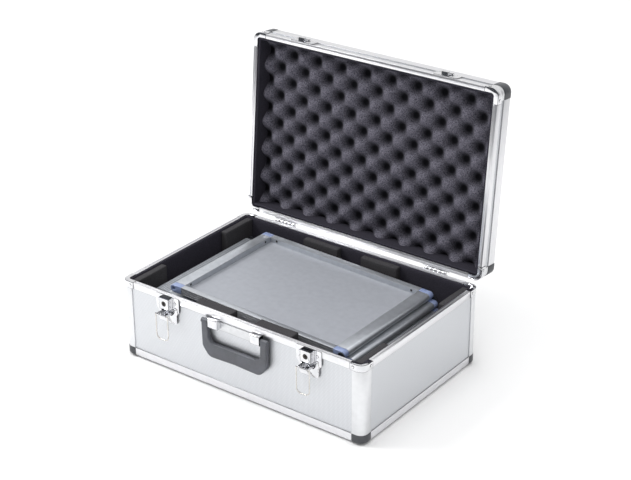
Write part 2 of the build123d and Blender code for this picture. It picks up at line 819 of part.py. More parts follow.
# screw heads on the inner faces of the top tray's rails, one beside each corner on each rail
frame = level_frame("top_tray")
left = -levels["top_tray"]["span"]
screw_head = 2
screw_height = 0.9
screw_z = 2
screw_inset = 13
with BuildPart() as top_tray_screws:
    rail_y = (tray_front + side_rail_width, tray_back - side_rail_width)
    for x, facing in ((left + rail_flat, 1), (-rail_flat, -1)):
        for y in (rail_y[0] + screw_inset, rail_y[1] - screw_inset):
            with BuildSketch(at(frame, x, y, screw_z, facing=(facing, 0, 0), right=(0, 1, 0))):
                Circle(screw_head)
            extrude(amount=screw_height)
    for y, facing in ((rail_y[0], 1), (rail_y[1], -1)):
        for x in (left + rail_flat + screw_inset, -rail_flat - screw_inset):
            with BuildSketch(at(frame, x, y, screw_z, facing=(0, facing, 0), right=(1, 0, 0))):
                Circle(screw_head)
            extrude(amount=screw_height)
top_tray_screws.part.label = "top_tray_screws"
export_step(top_tray_screws.part, "parts/top_tray_screws.step")

# the link frame between the trays: ribbed rail on the left, nose rail on the right
frame = level_frame("link_frame")
left = -levels["link_frame"]["span"]
ribbed_front = tray_front + 3
ribbed_back = tray_back - 9
ribbed_hole = 8
with BuildPart() as link_frame_rails:
    nose_rail(frame, 0, -1)
    with BuildSketch(at(frame, left, ribbed_front, 0, facing=(0, 1, 0), right=(1, 0, 0))):
        Circle(tray_nose)
        slab(0, ribbed_width, -tray_nose, tray_nose)
    extrude(amount=ribbed_back - ribbed_front)
    for number in range(rib_count):
        low = left + (number - 0.5) * rib_pitch
        groove_z = (tray_nose - groove_depth, tray_nose)
        block(frame, (low, low + rib_pitch / 2), (ribbed_front, ribbed_back), groove_z, mode=Mode.SUBTRACT)
    for hole in (
        (ribbed_front, ribbed_front + ribbed_hole),
        (ribbed_back - ribbed_hole, ribbed_back),
    ):
        stub(frame, left, hole, 0, pivot_bore, mode=Mode.SUBTRACT)
    side_span = (left + ribbed_width + clearance, -rail_flat)
    side_rail(frame, side_span, tray_front, -1)
    side_rail(frame, side_span, tray_back, 1)
link_frame_rails.part.label = "link_frame_rails"
export_step(link_frame_rails.part, "parts/link_frame_rails.step")

with BuildPart() as link_frame_corner_caps:
    add_corner_caps(frame, ((0, -1),))
link_frame_corner_caps.part.label = "link_frame_corner_caps"
export_step(link_frame_corner_caps.part, "parts/link_frame_corner_caps.step")

# the base frame stands on four risers on the floor foam
frame = level_frame("base_frame")
left = -levels["base_frame"]["span"]
with BuildPart() as base_frame_rails:
    nose_rail(frame, left, 1)
    nose_rail(frame, 0, -1)
    side_rail(frame, (left + rail_flat, -rail_flat), tray_front, -1)
    side_rail(frame, (left + rail_flat, -rail_flat), tray_back, 1)
base_frame_rails.part.label = "base_frame_rails"
export_step(base_frame_rails.part, "parts/base_frame_rails.step")

with BuildPart() as base_frame_corner_caps:
    add_corner_caps(frame, ((left, 1), (0, -1)))
base_frame_corner_caps.part.label = "base_frame_corner_caps"
export_step(base_frame_corner_caps.part, "parts/base_frame_corner_caps.step")

riser_low = floor_foam_top + 0.05
riser_high = levels["base_frame"]["pivot"][1] - tray_nose - 0.02
riser_x = 168
riser_y = 90
riser_length = 26
riser_width = 22
with BuildPart() as stack_risers:
    with BuildSketch(Plane.XY.offset(riser_low)):
        with GridLocations(2 * riser_x, 2 * riser_y, 2, 2):
            RectangleRounded(riser_length, riser_width, 4)
    extrude(amount=riser_high - riser_low)
stack_risers.part.label = "stack_risers"
export_step(stack_risers.part, "parts/stack_risers.step")


def pivot_point(name, end):
    # centre of the left or right nose of a level, as (x, z)
    frame = level_frame(name)
    local_x = {"left": -levels[name]["span"], "right": 0}[end]
    point = frame.from_local_coords(Vector(local_x, 0, 0))
    return point.X, point.Z


link_thickness = 2
link_radius = 5.5
link_gap = 0.4
pin_reach = 7
links = {
    "upper_links": ("link_frame", "top_tray", "right", tray_front, tray_back, tray_front, tray_back),
    "middle_links": ("lower_tray", "link_frame", "left", tray_front, tray_back, ribbed_front, ribbed_back),
    "lower_links": ("base_frame", "lower_tray", "right", tray_front, tray_back, tray_front, tray_back),
}
for name, (below, above, end, below_front, below_back, above_front, above_back) in links.items():
    low_x, low_z = pivot_point(below, end)
    high_x, high_z = pivot_point(above, end)
    reach = math.hypot(high_x - low_x, high_z - low_z)
    slope = math.degrees(math.atan2(high_z - low_z, high_x - low_x))
    with BuildPart() as link_plates:
        for side, face in ((-1, tray_front - link_gap), (1, tray_back + link_gap)):
            outer = face + side * link_thickness
            low_y, high_y = sorted((face, outer))
            with BuildSketch(Plane(origin=(0, high_y, 0), x_dir=(1, 0, 0), z_dir=(0, -1, 0))):
                with Locations(((low_x + high_x) / 2, (low_z + high_z) / 2)):
                    SlotOverall(reach + 2 * link_radius, 2 * link_radius, rotation=slope)
            extrude(amount=link_thickness)
        pins = (
            (low_x, low_z, below_front, below_back),
            (high_x, high_z, above_front, above_back),
        )
        for x, z, front, back in pins:
            stub(Plane.XY, x, (tray_front - link_gap - 0.5, front + pin_reach), z, pivot_pin)
            stub(Plane.XY, x, (back - pin_reach, tray_back + link_gap + 0.5), z, pivot_pin)
    link_plates.part.label = name
    export_step(link_plates.part, f"parts/{name}.step")
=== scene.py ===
import json
import math
import bmesh
import bpy
from mathutils import Matrix, Vector


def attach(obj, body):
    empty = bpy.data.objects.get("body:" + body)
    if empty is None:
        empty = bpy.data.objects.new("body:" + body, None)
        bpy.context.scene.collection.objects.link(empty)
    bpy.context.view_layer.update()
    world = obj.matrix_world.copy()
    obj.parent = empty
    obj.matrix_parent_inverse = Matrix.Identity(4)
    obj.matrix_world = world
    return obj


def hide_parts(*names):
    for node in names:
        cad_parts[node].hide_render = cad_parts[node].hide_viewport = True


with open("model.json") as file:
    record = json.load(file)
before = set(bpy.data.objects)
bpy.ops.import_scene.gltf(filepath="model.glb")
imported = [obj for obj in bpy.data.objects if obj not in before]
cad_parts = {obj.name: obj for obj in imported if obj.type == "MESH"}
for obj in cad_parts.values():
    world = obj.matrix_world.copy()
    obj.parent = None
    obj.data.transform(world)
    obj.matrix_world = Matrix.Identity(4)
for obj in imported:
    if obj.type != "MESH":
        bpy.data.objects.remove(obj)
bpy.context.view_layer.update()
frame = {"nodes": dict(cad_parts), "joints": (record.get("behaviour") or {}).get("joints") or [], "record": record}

mm = 0.001
record = frame["record"]
bodyOf = {node: body for body, members in record["behaviour"]["bodies"].items() for node in members}
slotOf = {entry["node"]: entry["material_slot"] for entry in record["subparts"]}
jointOf = {joint["name"]: joint for joint in frame["joints"]}

# camera, and lights that stand round the case
cameraSet = {
    "place": (1.3285, -1.7208, 1.2594),
    "looks": (-0.5415, 0.7187, -0.4363),
    "right": (0.8004, 0.5995, -0.0059),
    "lens": 90.33,
    "sensor": 36.0,
}


def placeCamera():
    data = bpy.data.cameras.new("camera")
    data.lens = cameraSet["lens"]
    data.sensor_width = cameraSet["sensor"]
    camera = bpy.data.objects.new("camera", data)
    back = -Vector(cameraSet["looks"]).normalized()
    right = Vector(cameraSet["right"])
    right = (right - right.dot(back) * back).normalized()
    up = back.cross(right)
    turn = Matrix((right, up, back)).transposed().to_4x4()
    camera.matrix_world = Matrix.Translation(cameraSet["place"]) @ turn
    bpy.context.scene.collection.objects.link(camera)
    bpy.context.scene.camera = camera


lights = {
    "keyFromLeft": {"place": (-1.7, -0.9, 2.0), "size": 1.1, "watts": 36},
    "softOverhead": {"place": (0.1, 0.2, 3.0), "size": 2.0, "watts": 24},
    "fillFromFront": {"place": (1.4, -2.6, 1.3), "size": 1.8, "watts": 14},
}
lightAim = (0, 0.05, 0.15)


def placeLights():
    for name, light in lights.items():
        data = bpy.data.lights.new(name, "AREA")
        data.shape = "DISK"
        data.size = light["size"]
        data.energy = light["watts"]
        lamp = bpy.data.objects.new(name, data)
        aim = Vector(lightAim) - Vector(light["place"])
        turn = aim.to_track_quat("-Z", "Y").to_matrix().to_4x4()
        lamp.matrix_world = Matrix.Translation(light["place"]) @ turn
        bpy.context.scene.collection.objects.link(lamp)


# materials
def fromHex(code):
    # an sRGB hex colour as linear values, with full alpha
    parts = [int(code[i:i + 2], 16) / 255 for i in (1, 3, 5)]
    linear = [p / 12.92 if p <= 0.04045 else ((p + 0.055) / 1.055) ** 2.4 for p in parts]
    return (*linear, 1.0)


def addNode(tree, kind, settings=None, links=None):
    node = tree.nodes.new(kind)
    for name, value in (settings or {}).items():
        if name in node.inputs:
            node.inputs[name].default_value = value
        else:
            setattr(node, name, value)
    for name, source in (links or {}).items():
        tree.links.new(source, node.inputs[name])
    return node


def startMaterial(name, **settings):
    material = bpy.data.materials.new(name)
    material.use_nodes = True
    tree = material.node_tree
    shader = tree.nodes["Principled BSDF"]
    for key, value in settings.items():
        shader.inputs[key.replace("_", " ")].default_value = value
    return material, tree, shader


def noiseAt(tree, coords, grain, detail=2.0):
    # fine noise whose lumps are about grain metres across
    return addNode(tree, "ShaderNodeTexNoise", {"Scale": 1 / grain, "Detail": detail}, {"Vector": coords})


def blendColors(tree, factor, dark, light, low=0.3, high=0.7):
    ramp = addNode(tree, "ShaderNodeValToRGB", None, {"Fac": factor})
    ramp.color_ramp.elements[0].position = low
    ramp.color_ramp.elements[0].color = fromHex(dark)
    ramp.color_ramp.elements[1].position = high
    ramp.color_ramp.elements[1].color = fromHex(light)
    return ramp.outputs["Color"]


def spreadValue(tree, value, low, high):
    return addNode(tree, "ShaderNodeMapRange", {"To Min": low, "To Max": high}, {"Value": value}).outputs[0]


def setBump(tree, shader, height, depth, strength=1.0):
    bump = addNode(tree, "ShaderNodeBump", {"Distance": depth, "Strength": strength}, {"Height": height})
    tree.links.new(bump.outputs["Normal"], shader.inputs["Normal"])


def paintShadeOnEdges(tree, color, tone):
    # painted shade and painted reflection on edges: faces carrying the edge-shade attribute take the darker tone,
    # standing in for shade at seams and undercuts and for dark surroundings mirrored in the plating
    paintedShadeShare = addNode(tree, "ShaderNodeAttribute", {"attribute_name": "paintedEdgeShade"}).outputs["Fac"]
    mix = addNode(tree, "ShaderNodeMix", {"data_type": "RGBA"})
    tree.links.new(paintedShadeShare, mix.inputs[0])
    tree.links.new(color, mix.inputs[6])
    mix.inputs[7].default_value = fromHex(tone)
    return mix.outputs[2]


def embossedAluminium(name, turn):
    # rolled aluminium skin with a fine diamond emboss: matt pale grey, with painted shade in the emboss's hollows
    # and painted light on its crests that draws faint slanting lines.
    # the real pitch is nearer 1.5 mm, drawn at 3.2 mm so that it shows
    pitch = 3.2 * mm
    material, tree, shader = startMaterial(name, Metallic=1.0, Roughness=0.46)
    coords = addNode(tree, "ShaderNodeTexCoord").outputs["Object"]
    turned = addNode(tree, "ShaderNodeMapping", {"Rotation": turn}, {"Vector": coords}).outputs[0]
    rate = 2 * math.pi / (pitch * math.sqrt(2))
    waves = []
    for slant in (rate, -rate):
        along = addNode(tree, "ShaderNodeVectorMath", {"operation": "DOT_PRODUCT"}, {0: turned})
        along.inputs[1].default_value = (rate, rate, slant)
        wave = addNode(tree, "ShaderNodeMath", {"operation": "SINE"}, {0: along.outputs["Value"]})
        waves.append(wave.outputs[0])
    diamonds = addNode(
        tree, "ShaderNodeMath", {"operation": "MULTIPLY"}, {0: waves[0], 1: waves[1]}
    ).outputs[0]
    height = spreadValue(tree, diamonds, 0.5, 1.0)
    # the colour follows the emboss height: painted shade low, painted light high
    tree.links.new(blendColors(tree, height, "#a9abaf", "#e9ebee", 0.1, 0.95), shader.inputs["Base Color"])
    setBump(tree, shader, height, 0.12 * mm, 0.7)
    return material


def satinExtrusion(name, pale, deep, rough, metallic=1.0, edge="#97979a"):
    # anodised extruded aluminium: an even satin sheen with very faint drawing marks
    material, tree, shader = startMaterial(name, Metallic=metallic)
    coords = addNode(tree, "ShaderNodeTexCoord").outputs["Object"]
    cloud = noiseAt(tree, coords, 9 * mm).outputs["Fac"]
    grit = noiseAt(tree, coords, 0.5 * mm, 3.0).outputs["Fac"]
    # edge is a painted shade tone for broken edges and seams
    color = paintShadeOnEdges(tree, blendColors(tree, cloud, deep, pale), edge)
    tree.links.new(color, shader.inputs["Base Color"])
    tree.links.new(spreadValue(tree, grit, rough - 0.05, rough + 0.07), shader.inputs["Roughness"])
    setBump(tree, shader, grit, 0.012 * mm)
    return material


def platedSteel(name, color, worn, edge, rough):
    # bright nickel-chrome plating over a pressing: mirror-like with faint orange peel and handling haze
    material, tree, shader = startMaterial(name, Metallic=1.0)
    coords = addNode(tree, "ShaderNodeTexCoord").outputs["Object"]
    peel = noiseAt(tree, coords, 3 * mm).outputs["Fac"]
    haze = noiseAt(tree, coords, 14 * mm).outputs["Fac"]
    bright = blendColors(tree, haze, worn, color)
    # edge is a painted shade and painted reflection tone for broken edges and cut sides
    tree.links.new(paintShadeOnEdges(tree, bright, edge), shader.inputs["Base Color"])
    tree.links.new(spreadValue(tree, haze, rough - 0.03, rough + 0.08), shader.inputs["Roughness"])
    setBump(tree, shader, peel, 0.03 * mm)
    return material


def mouldedPlastic(name, dark, light, rough, grain=0.6 * mm, depth=0.03 * mm):
    # injection-moulded plastic with a spark-eroded grain: soft highlight, slightly mottled tone
    material, tree, shader = startMaterial(name, Roughness=rough, IOR=1.5)
    coords = addNode(tree, "ShaderNodeTexCoord").outputs["Object"]
    cloud = noiseAt(tree, coords, 12 * mm).outputs["Fac"]
    erosion = noiseAt(tree, coords, grain, 3.0).outputs["Fac"]
    tree.links.new(blendColors(tree, cloud, dark, light), shader.inputs["Base Color"])
    setBump(tree, shader, erosion, depth)
    return material


def cutFoam(name, dark, light, cell, depth, speckle=0.5, pit=None):
    # polyether or polyethylene foam cut with a hot wire or a knife: matt, with small open cells.
    # pit is a painted shade colour for the bottom of moulded pits, mixed in more strongly the deeper the pit
    material, tree, shader = startMaterial(name, Roughness=0.95, Specular_IOR_Level=0.15)
    coords = addNode(tree, "ShaderNodeTexCoord").outputs["Object"]
    cells = addNode(tree, "ShaderNodeTexVoronoi", {"Scale": 1 / cell}, {"Vector": coords}).outputs["Distance"]
    dust = noiseAt(tree, coords, cell * 1.6, 4.0).outputs["Fac"]
    mixed = addNode(tree, "ShaderNodeMath", {"operation": "MULTIPLY_ADD"}, {0: cells, 2: dust})
    mixed.inputs[1].default_value = speckle
    tone = mixed.outputs[0]
    color = blendColors(tree, tone, dark, light, 0.45, 0.95)
    # the pit colour, mixed in by the pits' depth, is painted shade in the hollows
    if pit:
        sunk = addNode(tree, "ShaderNodeAttribute", {"attribute_name": "pitDepth"}).outputs["Fac"]
        share = addNode(
            tree, "ShaderNodeMapRange", {"From Min": -0.45, "From Max": 0.85}, {"Value": sunk}
        ).outputs[0]
        mix = addNode(tree, "ShaderNodeMix", {"data_type": "RGBA"})
        tree.links.new(share, mix.inputs[0])
        tree.links.new(color, mix.inputs[6])
        mix.inputs[7].default_value = fromHex(pit)
        color = mix.outputs[2]
    tree.links.new(color, shader.inputs["Base Color"])
    setBump(tree, shader, tone, depth)
    return material


print("materials")
panelSkin = embossedAluminium("embossedAluminiumSheet", (0, 0, 0))
flatPanelSkin = embossedAluminium("embossedAluminiumSheetFlat", (math.pi / 2, 0, 0))
# the satin finishes' default edge colour and each plated finish's last colour are painted edge shade
profileMetal = satinExtrusion("satinAnodisedExtrusion", "#e4e4e6", "#dfdfe2", 0.30)
trayMetal = satinExtrusion("satinTrayExtrusion", "#bfc3c9", "#b3b7bd", 0.34, 0.7)
postMetal = satinExtrusion("satinCornerPostExtrusion", "#dfe0e2", "#dadbdd", 0.33)
traySheetMetal = satinExtrusion("mattTraySheet", "#a3a6ad", "#9da0a7", 0.55, 0.25)
bracketMetal = satinExtrusion("satinSteelStrip", "#d5d6d8", "#cccdcf", 0.28)
chromePlate = platedSteel("brightChromePlate", "#e2e2e4", "#d2d3d6", "#2c2e33", 0.1)
wirePlate = platedSteel("platedSpringWire", "#dad7d3", "#c4c1bc", "#55534f", 0.24)
# the lock barrel's dark colour is painted shade standing in for the black keyhole; the tray screws take the same
# colour
lockMetal = platedSteel("turnedLockBarrel", "#4e4c49", "#403e3b", "#191817", 0.3)
gripPlastic = mouldedPlastic("grainedPolypropyleneGrip", "#4c4e53", "#565860", 0.38)
cornerPlastic = mouldedPlastic("mouldedCornerPlastic", "#3b3d41", "#47494d", 0.36)
capPlastic = mouldedPlastic("blueGreyNylonCap", "#7d8bb0", "#93a0c2", 0.3, 0.9 * mm, 0.01 * mm)
linkPlastic = mouldedPlastic("blackNylonLink", "#14161b", "#1d2027", 0.35)
footRubber = mouldedPlastic("mouldedRubberFoot", "#141414", "#1c1c1c", 0.7)
# the pit colour is painted shade in the egg-crate's hollows
eggFoam = cutFoam("convolutedPolyetherFoam", "#2f2d37", "#74727d", 1.3 * mm, 0.5 * mm, pit="#08080d")
blockFoam = cutFoam("cutPolyethyleneFoam", "#343336", "#464547", 1.0 * mm, 0.16 * mm)
liningFoam = cutFoam("skivedLiningFoam", "#2b2a31", "#3a3841", 0.9 * mm, 0.14 * mm)

finishOf = {
    "aluminium_panel": panelSkin,
    "aluminium_profile": profileMetal,
    "chrome_fittings": chromePlate,
    "lock_metal": lockMetal,
    "bracket_metal": bracketMetal,
    "handle_plastic": gripPlastic,
    "corner_plastic": cornerPlastic,
    "rubber_feet": footRubber,
    "lining_foam": liningFoam,
    "block_foam": blockFoam,
    "egg_crate": eggFoam,
    "tray_aluminium": trayMetal,
    "tray_sheet_metal": traySheetMetal,
    "tray_cap_plastic": capPlastic,
    "link_plastic": linkPlastic,
}


# the lid's own frame: the hinge is its origin, and Z goes into the lid
lidJoint = jointOf["lid_hinge"]
lidAngle = math.radians(lidJoint["range_deg"][1])
hingePoint = Vector(lidJoint["pos_m"])
lidTurn = Matrix((
    (1, 0, 0),
    (0, math.cos(lidAngle), math.sin(lidAngle)),
    (0, -math.sin(lidAngle), math.cos(lidAngle)),
)).to_4x4()
lidPlace = Matrix.Translation(hingePoint) @ lidTurn

# making and placing pieces
def newPiece(name, mesh, material):
    mesh.materials.clear()
    mesh.materials.append(material)
    for polygon in mesh.polygons:
        polygon.material_index = 0
    piece = bpy.data.objects.new(name, mesh)
    bpy.context.scene.collection.objects.link(piece)
    return piece


def bakeModifiers(piece):
    # the evaluated mesh takes the place of the live modifiers
    bpy.context.view_layer.update()
    finished = bpy.data.meshes.new_from_object(piece.evaluated_get(bpy.context.evaluated_depsgraph_get()))
    piece.modifiers.clear()
    piece.data = finished
    return piece


def softShade(mesh, degrees=35):
    mesh.shade_smooth()
    mesh.set_sharp_from_angle(angle=math.radians(degrees))


def fit(piece, body, slot, *nodes):
    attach(piece, body)
    if nodes:
        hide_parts(*nodes)
    return piece


def mergedCopy(node):
    shape = bmesh.new()
    shape.from_mesh(frame["nodes"][node].data)
    bmesh.ops.remove_doubles(shape, verts=shape.verts, dist=1e-6)
    return shape


def islands(node, place=Matrix.Identity(4)):
    # lowest and highest corner of each separate solid of a node, in the frame of place
    shape = mergedCopy(node)
    back = place.inverted()
    found = []
    waiting = set(shape.verts)
    while waiting:
        seed = min(waiting, key=lambda vert: vert.index)
        waiting.remove(seed)
        group = [seed]
        for vert in group:
            for edge in vert.link_edges:
                other = edge.other_vert(vert)
                if other in waiting:
                    waiting.remove(other)
                    group.append(other)
        points = [back @ vert.co for vert in group]
        low = Vector([min(p[i] for p in points) for i in range(3)])
        high = Vector([max(p[i] for p in points) for i in range(3)])
        found.append((low, high))
    shape.free()
    return found


mouthBand = 4 * mm


def takesPaintedShade(node, face, bevelled):
    # which faces take painted shade: bevelled edges (on the rims only those below the mouth band), the sides and
    # ears of the latch plates, the tops of the lock housings and the outer ends of the handle caps, for shade at
    # seams and undercuts and for dark reflections; the rims' own mouth faces stay bright
    normal, centre = face.normal, face.center
    if node == "base_rim_profiles":
        return bevelled and centre.z < hingePoint.z - mouthBand
    if node == "lid_rim_profiles":
        return bevelled and (lidPlace.inverted() @ centre).z > mouthBand
    if node == "latch_plates":
        return bevelled or abs(normal.y) < 0.6
    if node == "lock_housings":
        return bevelled or normal.z > 0.6
    if node == "handle_end_caps":
        return bevelled or normal.x * math.copysign(1, centre.x) > 0.6
    return bevelled


def edgedCopy(node, width, segments=2, sharp=40):
    # the node's own shape with its hard edges broken, as after deburring, drawing or moulding
    shape = mergedCopy(node)
    bmesh.ops.dissolve_limit(
        shape, angle_limit=math.radians(0.6), verts=shape.verts, edges=shape.edges
    )
    mesh = bpy.data.meshes.new(f"edged_{node}")
    shape.to_mesh(mesh)
    shape.free()
    slot = slotOf[node]
    metal = postMetal if "corner_posts" in node else finishOf[slot]
    piece = newPiece(f"edged_{node}", mesh, metal)
    mesh.materials.append(metal)
    bevel = piece.modifiers.new("brokenEdges", "BEVEL")
    bevel.width = width
    bevel.segments = segments
    bevel.limit_method = "ANGLE"
    bevel.angle_limit = math.radians(sharp)
    bevel.material = 1
    bakeModifiers(piece)
    faces = piece.data.polygons
    # the bevel's faces and the other faces chosen above are marked for painted shade
    marks = [1.0 if takesPaintedShade(node, face, face.material_index == 1) else 0.0 for face in faces]
    for face in faces:
        face.material_index = 0
    piece.data.materials.pop()
    shades = piece.data.attributes.new("paintedEdgeShade", "FLOAT", "FACE")
    shades.data.foreach_set("value", marks)
    softShade(piece.data)
    return fit(piece, bodyOf[node], slot, node)


# finishes on the nodes that keep their own shape
for node, cadPiece in frame["nodes"].items():
    cadPiece.data.materials.clear()
    cadPiece.data.materials.append(finishOf[slotOf[node]])
    for polygon in cadPiece.data.polygons:
        polygon.material_index = 0
frame["nodes"]["base_bottom_panel"].data.materials[0] = flatPanelSkin
for side in ("left", "right"):
    frame["nodes"][f"latch_bail_{side}"].data.materials[0] = wirePlate

print("edged metal and plastic")
brokenEdges = {
    0.35 * mm: ("base_rim_profiles", "lid_rim_profiles", "base_edge_profiles", "lid_edge_profiles",
                "base_corner_posts", "lid_corner_posts", "hinge_base_leaves", "hinge_lid_leaves",
                "latch_plates", "latch_lever_left", "latch_lever_right", "lid_strikes",
                "top_tray_rails", "lower_tray_rails", "base_frame_rails", "link_frame_rails"),
    0.5 * mm: ("base_rim_corners", "lid_rim_corners", "handle_bracket", "handle_end_caps",
               "upper_links", "middle_links", "lower_links", "stack_risers"),
    0.7 * mm: ("base_corner_caps", "lid_corner_caps", "top_tray_corner_caps", "lower_tray_corner_caps",
               "base_frame_corner_caps", "link_frame_corner_caps", "lock_housings", "feet"),
}
for width, nodes in brokenEdges.items():
    for node in nodes:
        edgedCopy(node, width)

# egg-crate pad in the lid
eggCrate = {
    "pitch": 48 * mm,         # from pit to pit along a row
    "phase": (1 * mm, 0.7 * mm),
    "depth": 8.6 * mm,        # half the height from pit to peak
    "unevenness": 2.2 * mm,
    "lumpRate": 28.0,         # lumps of the uneven face in each metre
    "peakRoom": 1.2 * mm,     # left free above the peaks
    "step": 2.2 * mm,
    "seed": 4,
}


def eggCrateTree():
    tree = bpy.data.node_groups.new("eggCratePad", "GeometryNodeTree")
    interface = tree.interface
    for name, kind in (
        ("Length", "NodeSocketFloat"), ("Width", "NodeSocketFloat"), ("Thickness", "NodeSocketFloat"),
        ("Pitch", "NodeSocketFloat"), ("Depth", "NodeSocketFloat"), ("Unevenness", "NodeSocketFloat"),
        ("Phase", "NodeSocketVector"), ("Seed", "NodeSocketFloat"),
        ("Cuts Along", "NodeSocketInt"), ("Cuts Across", "NodeSocketInt"), ("Foam", "NodeSocketMaterial"),
    ):
        interface.new_socket(name, in_out="INPUT", socket_type=kind)
    interface.new_socket("Geometry", in_out="OUTPUT", socket_type="NodeSocketGeometry")
    given = addNode(tree, "NodeGroupInput").outputs
    size = addNode(
        tree, "ShaderNodeCombineXYZ", None,
        {"X": given["Length"], "Y": given["Width"], "Z": given["Thickness"]},
    )
    slab = addNode(
        tree, "GeometryNodeMeshCube", {"Vertices Z": 2},
        {"Size": size.outputs[0], "Vertices X": given["Cuts Along"], "Vertices Y": given["Cuts Across"]},
    )
    place = addNode(tree, "GeometryNodeInputPosition").outputs[0]
    shifted = addNode(
        tree, "ShaderNodeVectorMath", {"operation": "SUBTRACT"}, {0: place, 1: given["Phase"]}
    ).outputs[0]
    split = addNode(tree, "ShaderNodeSeparateXYZ", None, {0: shifted}).outputs
    waves = []
    for axis in ("X", "Y"):
        turns = addNode(tree, "ShaderNodeMath", {"operation": "DIVIDE"}, {0: split[axis], 1: given["Pitch"]})
        angle = addNode(tree, "ShaderNodeMath", {"operation": "MULTIPLY"}, {0: turns.outputs[0]})
        angle.inputs[1].default_value = 2 * math.pi
        wave = addNode(tree, "ShaderNodeMath", {"operation": "COSINE"}, {0: angle.outputs[0]})
        waves.append(wave.outputs[0])
    crate = addNode(
        tree, "ShaderNodeMath", {"operation": "MULTIPLY"}, {0: waves[0], 1: waves[1]}
    ).outputs[0]
    drop = addNode(
        tree, "ShaderNodeMath", {"operation": "MULTIPLY"}, {0: crate, 1: given["Depth"]}
    ).outputs[0]
    lumps = addNode(
        tree, "ShaderNodeTexNoise", {"noise_dimensions": "4D", "Scale": eggCrate["lumpRate"], "Detail": 1.0},
        {"Vector": place, "W": given["Seed"]},
    ).outputs["Fac"]
    centred = addNode(tree, "ShaderNodeMath", {"operation": "SUBTRACT"}, {0: lumps})
    centred.inputs[1].default_value = 0.5
    uneven = addNode(
        tree, "ShaderNodeMath", {"operation": "MULTIPLY"}, {0: centred.outputs[0], 1: given["Unevenness"]}
    ).outputs[0]
    # pits go down from the middle of the crate's depth, so the peaks reach the slab's face
    below = addNode(
        tree, "ShaderNodeMath", {"operation": "ADD"}, {0: drop, 1: given["Depth"]}
    ).outputs[0]
    lift = addNode(tree, "ShaderNodeMath", {"operation": "SUBTRACT"}, {0: uneven, 1: below}).outputs[0]
    offset = addNode(tree, "ShaderNodeCombineXYZ", None, {"Z": lift}).outputs[0]
    height = addNode(tree, "ShaderNodeSeparateXYZ", None, {0: place}).outputs["Z"]
    face = addNode(tree, "FunctionNodeCompare", {"operation": "GREATER_THAN"}, {"A": height}).outputs[0]
    shaped = addNode(
        tree, "GeometryNodeSetPosition", None,
        {"Geometry": slab.outputs[0], "Selection": face, "Offset": offset},
    )
    noted = addNode(
        tree, "GeometryNodeStoreNamedAttribute",
        {"data_type": "FLOAT", "domain": "POINT", "Name": "pitDepth"},
        {"Geometry": shaped.outputs[0], "Value": crate},
    )
    real = addNode(tree, "GeometryNodeRealizeInstances", None, {"Geometry": noted.outputs[0]})
    coated = addNode(
        tree, "GeometryNodeSetMaterial", None, {"Geometry": real.outputs[0], "Material": given["Foam"]}
    )
    addNode(tree, "NodeGroupOutput", None, {"Geometry": coated.outputs[0]})
    return tree


def runTree(name, tree, values, mesh=None):
    # a piece made by a tree, as a plain mesh
    piece = bpy.data.objects.new(name, mesh or bpy.data.meshes.new(name))
    bpy.context.scene.collection.objects.link(piece)
    modifier = piece.modifiers.new(name, "NODES")
    modifier.node_group = tree
    for item in tree.interface.items_tree:
        if item.item_type == "SOCKET" and item.in_out == "INPUT" and item.name in values:
            modifier[item.identifier] = values[item.name]
    return bakeModifiers(piece)


print("egg-crate pad")
padLow, padHigh = islands("egg_crate_foam", lidPlace)[0]
padSize = padHigh - padLow
padThickness = padSize.z - eggCrate["peakRoom"]
pad = runTree("eggCratePad", eggCrateTree(), {
    "Length": padSize.x,
    "Width": padSize.y,
    "Thickness": padThickness,
    "Pitch": eggCrate["pitch"],
    "Depth": eggCrate["depth"],
    "Unevenness": eggCrate["unevenness"],
    "Phase": (*eggCrate["phase"], 0),
    "Seed": eggCrate["seed"],
    "Cuts Along": round(padSize.x / eggCrate["step"]),
    "Cuts Across": round(padSize.y / eggCrate["step"]),
    "Foam": eggFoam,
})
padMiddle = (padLow + padHigh) / 2
padBack = Vector((padMiddle.x, padMiddle.y, padHigh.z - padThickness / 2))
pad.data.transform(lidPlace @ Matrix.Translation(padBack) @ Matrix.Rotation(math.pi, 4, "X"))
softShade(pad.data, 60)
fit(pad, "lid", "egg_crate", "egg_crate_foam")

# cut foam blocks and linings
foamCut = {"round": 1.6 * mm, "step": 6 * mm, "waver": 0.35 * mm}
liningCut = {
    "outerRadius": 4.4 * mm,
    "leastRadius": 0.8 * mm,
    "lip": 0.42,              # rounding of the free lip, as a share of the wall
    "lipCorner": 0.3,         # share of the lip at which its middle point stands
    "steps": 14,
    "step": 9 * mm,
    "cornerCuts": 6,
    "waver": 0.2 * mm,
}
liningWall = {"base": 2.6 * mm, "lid": 4 * mm}


def waveredPoint(point, amount):
    # hand-cut foam is never quite flat: a slow waver, the same each run
    x, y, z = (c / mm for c in point)
    return Vector((
        amount * math.sin(0.11 * z + 0.07 * y) * math.cos(0.05 * x),
        amount * math.sin(0.09 * x - 0.06 * z) * math.cos(0.06 * y),
        0.6 * amount * math.sin(0.08 * x + 0.1 * y),
    ))


